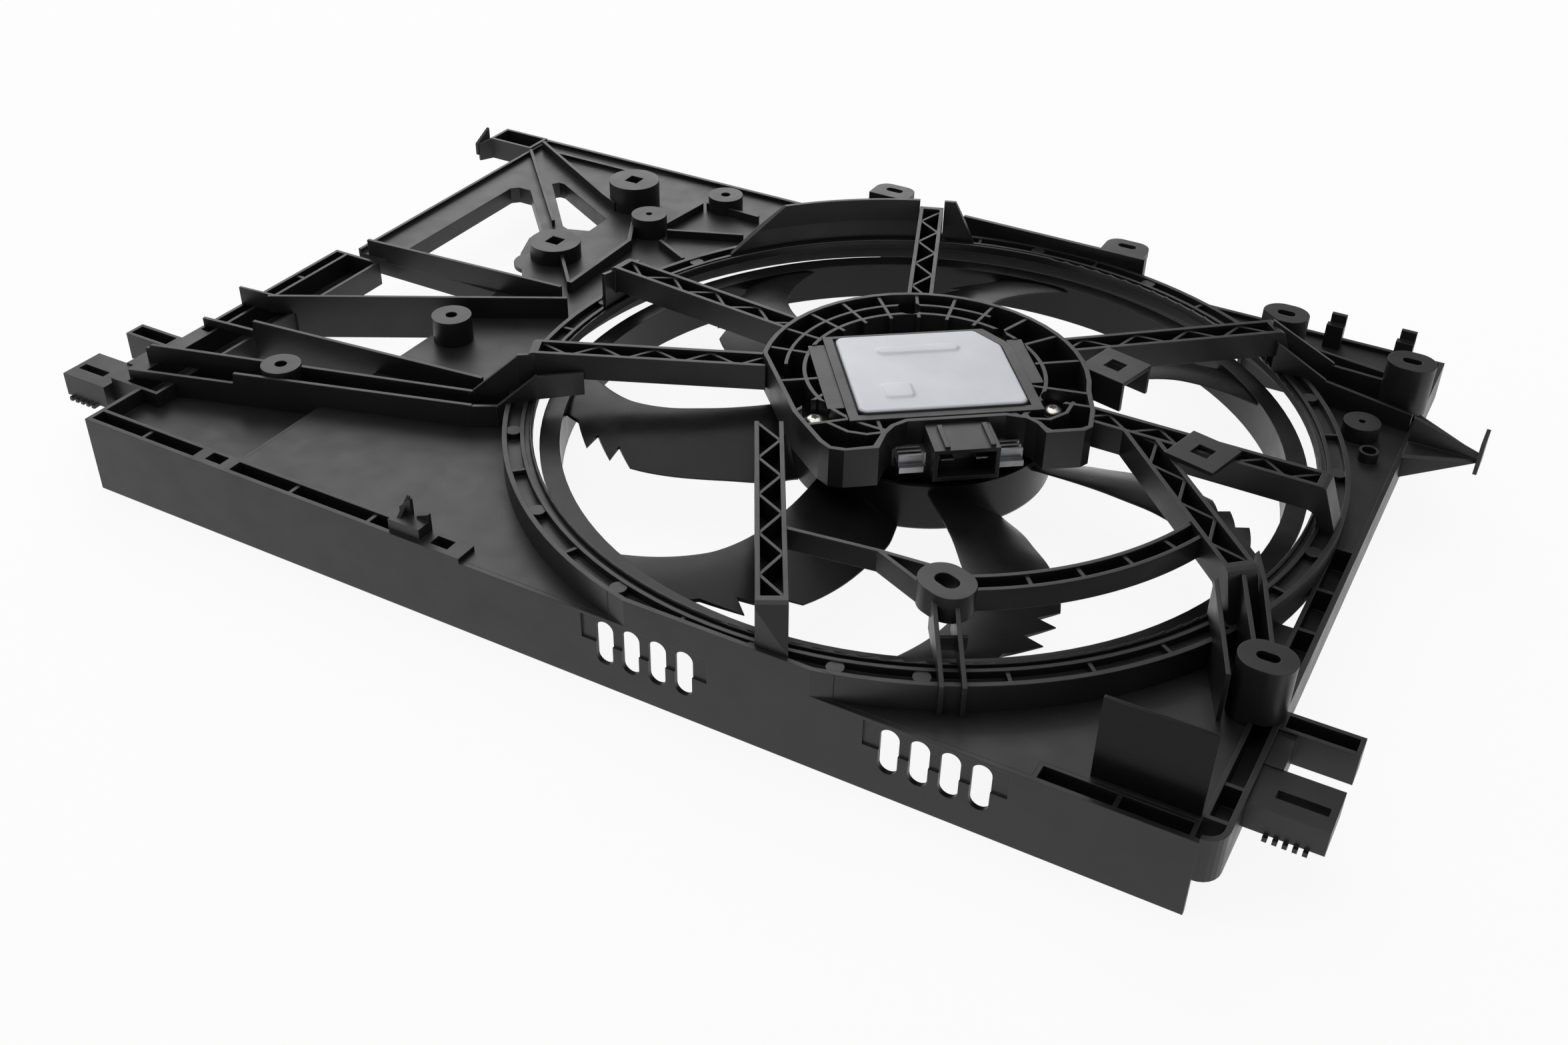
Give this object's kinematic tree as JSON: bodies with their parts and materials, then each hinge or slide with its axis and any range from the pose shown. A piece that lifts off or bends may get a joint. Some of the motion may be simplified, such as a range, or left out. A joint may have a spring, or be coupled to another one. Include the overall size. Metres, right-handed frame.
{
  "type": "radiator cooling fan",
  "caption": "Electric radiator fan: a long moulded shroud with a round throat, a spoke lattice that carries the motor and controller, and a banded axial wheel.",
  "frame": {"origin": "middle of the outline, on the plane that meets the radiator", "axes": "+X along the front wall towards the fan's side, +Y from the front wall to the back wall, +Z from the radiator towards the engine, along the fan axis"},
  "size_m": [0.682, 0.438, 0.0814],
  "materials": {
    "shroud_plastic": "satin grained black",
    "wheel_plastic": "satin black",
    "housing_plastic": "smooth black",
    "bearing_steel": "ground",
    "lamination_steel": "bare sheet edges",
    "zinc_steel": "zinc plated",
    "magnet": "dull grey",
    "copper": "enamelled wire",
    "cast_alloy": "die cast",
    "cover_alloy": "pale satin",
    "screw_steel": "zinc plated",
    "tin": "tinned",
    "board": "coated"
  },
  "bodies": {
    "shroud": {"deck_left": "shroud_plastic", "left_bosses": "shroud_plastic", "deck_front_right": "shroud_plastic", "deck_back_right": "shroud_plastic", "front_wall": "shroud_plastic", "right_wall": "shroud_plastic", "back_wall": "shroud_plastic", "left_edge": "shroud_plastic", "front_left_floor": "shroud_plastic", "corner_frame": "shroud_plastic", "truss_ribs": "shroud_plastic", "throat_ring": "shroud_plastic", "wind_shield": "shroud_plastic", "spoke_top": "shroud_plastic", "spoke_upper_left": "shroud_plastic", "spoke_left": "shroud_plastic", "spoke_front": "shroud_plastic", "spoke_right": "shroud_plastic", "spoke_branch": "shroud_plastic", "spoke_upper_right": "shroud_plastic", "clip_brackets": "shroud_plastic", "arc_brace": "shroud_plastic", "motor_carrier": "shroud_plastic", "right_gusset": "shroud_plastic", "upper_gusset": "shroud_plastic", "front_right_boss": "shroud_plastic", "back_right_bosses": "shroud_plastic", "back_ears": "shroud_plastic", "left_clip": "shroud_plastic", "right_clip": "shroud_plastic", "hook_arm": "shroud_plastic", "deflector_plate": "shroud_plastic", "lower_bearing": "bearing_steel", "upper_bearing": "bearing_steel", "stator_core": "lamination_steel", "stator_coils": "copper", "motor_base": "cast_alloy", "motor_screws": "screw_steel", "controller_housing": "housing_plastic", "circuit_board": "board", "controller_cover": "cover_alloy", "cooling_fins": "cast_alloy", "connector_block": "housing_plastic", "connector_pins": "tin"},
    "fan": {"fan_hub": "wheel_plastic", "fan_blade_1": "wheel_plastic", "fan_blade_2": "wheel_plastic", "fan_blade_3": "wheel_plastic", "fan_blade_4": "wheel_plastic", "fan_blade_5": "wheel_plastic", "fan_blade_6": "wheel_plastic", "fan_blade_7": "wheel_plastic", "fan_band": "wheel_plastic", "hub_screws": "screw_steel", "rotor_can": "zinc_steel", "magnets": "magnet", "motor_shaft": "bearing_steel"}
  },
  "joints": [
    {"name": "fan_spin", "type": "hinge", "parent": "shroud", "child": "fan", "pos_m": [0.083, -0.012, 0.03], "axis": [0, 0, 1], "continuous": true}
  ]
}
